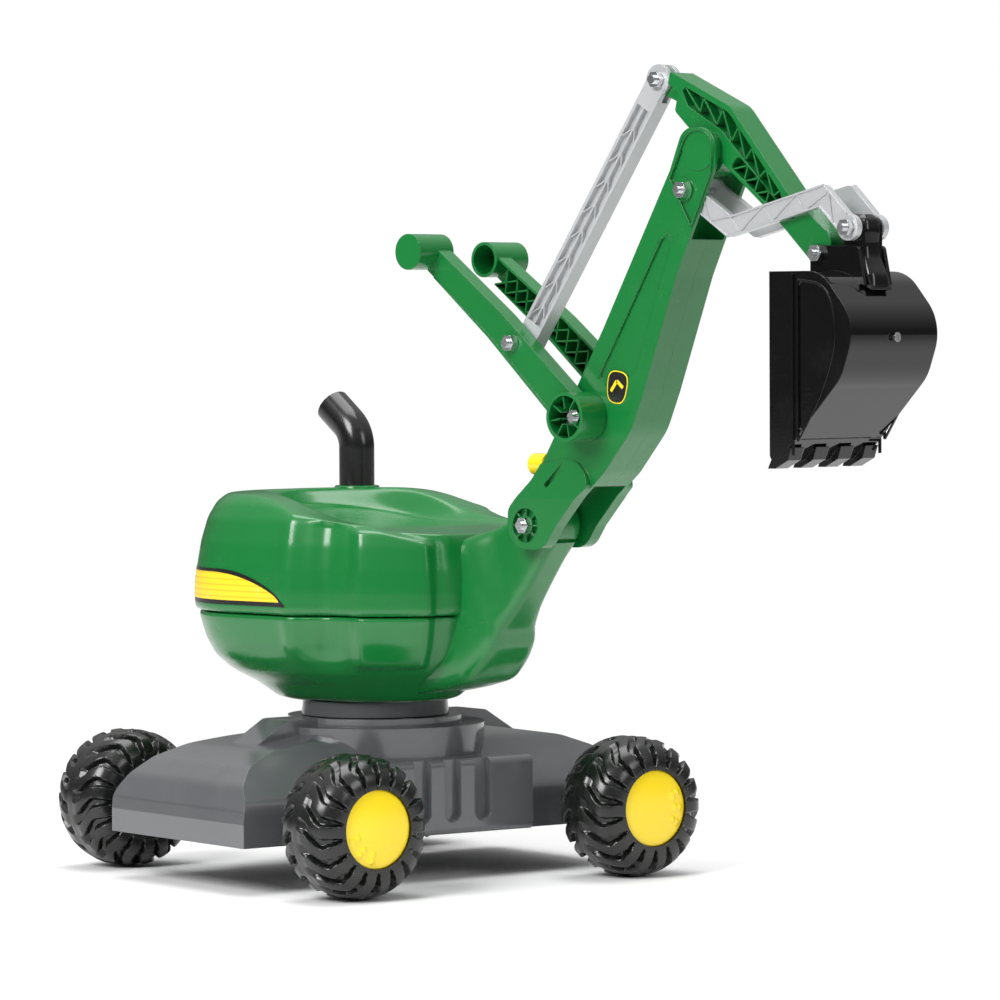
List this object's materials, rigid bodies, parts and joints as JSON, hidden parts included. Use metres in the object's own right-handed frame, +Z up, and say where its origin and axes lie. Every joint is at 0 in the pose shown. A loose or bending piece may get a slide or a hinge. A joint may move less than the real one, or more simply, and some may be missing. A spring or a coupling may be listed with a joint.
{
  "type": "ride-on digger toy",
  "caption": "Child's ride-on excavator: wheeled chassis, turning seat body and a lever-worked arm with a bucket.",
  "frame": {"origin": "on the floor, under the middle of the overall length and width", "axes": "+X points along the digging arm, towards the bucket; +Y is the digger's left side; +Z is up"},
  "size_m": [0.866, 0.4876, 0.7212],
  "materials": {
    "body_green": "glossy moulded plastic",
    "chassis_grey": "satin dark grey moulded plastic",
    "tyre_black": "hard blow-moulded plastic tyre",
    "cap_yellow": "glossy yellow plastic",
    "link_silver": "silver-grey satin plastic",
    "bucket_black": "glossy black plastic",
    "zinc": "bright zinc-plated steel"
  },
  "bodies": {
    "chassis": {"chassis_shell": "chassis_grey", "axle_front": "zinc", "axle_rear": "zinc", "axle_clips": "zinc"},
    "upper": {"turntable": "chassis_grey", "slew_bolt": "zinc", "slew_washer": "zinc", "slew_nut": "zinc", "lower_shell": "body_green", "seat_shell": "body_green", "exhaust_pipe": "bucket_black"},
    "boom": {"boom_half_left": "body_green", "boom_half_right": "body_green", "lever_left": "body_green", "boom_pivot_bolt": "zinc", "stick_pivot_pin": "zinc", "link_pivot_bolt": "zinc", "lever_pivot_bolt": "zinc", "nuts_boom": "zinc"},
    "lever": {"lever_right": "body_green", "rod_foot_bolt": "zinc", "nuts_lever": "zinc"},
    "push_rod": {"rod": "link_silver"},
    "stick_arm": {"stick": "body_green", "rod_top_bolt": "zinc", "nuts_stick": "zinc"},
    "links": {"link_left": "link_silver", "link_right": "link_silver"},
    "bucket": {"bucket_shell": "bucket_black", "bucket_front": "bucket_black", "bucket_screw": "zinc", "bucket_pivot_bolt": "zinc", "link_end_bolt": "zinc", "nuts_bucket": "zinc"},
    "knob": {"lock_knob": "cap_yellow"},
    "wheel_unit_front_left": {"wheel_front_left": "tyre_black", "hubcap_front_left": "cap_yellow"},
    "wheel_unit_front_right": {"wheel_front_right": "tyre_black", "hubcap_front_right": "cap_yellow"},
    "wheel_unit_rear_left": {"wheel_rear_left": "tyre_black", "hubcap_rear_left": "cap_yellow"},
    "wheel_unit_rear_right": {"wheel_rear_right": "tyre_black", "hubcap_rear_right": "cap_yellow"}
  },
  "joints": [
    {"name": "slew", "type": "hinge", "parent": "chassis", "child": "upper", "pos_m": [-0.1847, 0, 0.15], "axis": [0, 0, 1], "continuous": true},
    {"name": "boom_tilt", "type": "hinge", "parent": "upper", "child": "boom", "pos_m": [0.0373, 0, 0.322], "axis": [0, 1, 0], "range_deg": [-8, 30]},
    {"name": "lever_turn", "type": "hinge", "parent": "boom", "child": "lever", "pos_m": [0.1058, 0, 0.418], "axis": [0, 1, 0], "range_deg": [-18, 8]},
    {"name": "rod_foot", "type": "hinge", "parent": "lever", "child": "push_rod", "pos_m": [0.0363, -0.0248, 0.482], "axis": [0, 1, 0], "range_deg": [-8.16, 17.97]},
    {"name": "stick_turn", "type": "hinge", "parent": "boom", "child": "stick_arm", "pos_m": [0.2333, 0, 0.646], "axis": [0, 1, 0], "range_deg": [-20.09, 9.1]},
    {"name": "bucket_turn", "type": "hinge", "parent": "stick_arm", "child": "bucket", "pos_m": [0.3618, 0, 0.556], "axis": [0, 1, 0], "range_deg": [-21.93, 9.91]},
    {"name": "link_turn", "type": "hinge", "parent": "boom", "child": "links", "pos_m": [0.2173, 0, 0.612], "axis": [0, 1, 0], "range_deg": [-22, 9.94]},
    {"name": "knob_turn", "type": "hinge", "parent": "boom", "child": "knob", "pos_m": [0.0183, 0, 0.375], "axis": [1, 0, 0], "range_deg": [-90, 90]},
    {"name": "roll_front_left", "type": "hinge", "parent": "chassis", "child": "wheel_unit_front_left", "pos_m": [-0.33976, 0.17983, 0.0635], "axis": [0.9869, -0.1611, 0], "continuous": true},
    {"name": "roll_front_right", "type": "hinge", "parent": "chassis", "child": "wheel_unit_front_right", "pos_m": [0.01949, 0.12119, 0.0635], "axis": [0.9869, -0.1611, 0], "continuous": true},
    {"name": "roll_rear_left", "type": "hinge", "parent": "chassis", "child": "wheel_unit_rear_left", "pos_m": [-0.38889, -0.12119, 0.0635], "axis": [0.9869, -0.1611, 0], "continuous": true},
    {"name": "roll_rear_right", "type": "hinge", "parent": "chassis", "child": "wheel_unit_rear_right", "pos_m": [-0.02964, -0.17983, 0.0635], "axis": [0.9869, -0.1611, 0], "continuous": true}
  ],
  "couplings": [
    {"joint": "rod_foot", "follows": "lever_turn", "ratio": -0.9819},
    {"joint": "stick_turn", "follows": "lever_turn", "ratio": 1.0994},
    {"joint": "bucket_turn", "follows": "lever_turn", "ratio": 1.2015},
    {"joint": "link_turn", "follows": "lever_turn", "ratio": 1.2056}
  ]
}
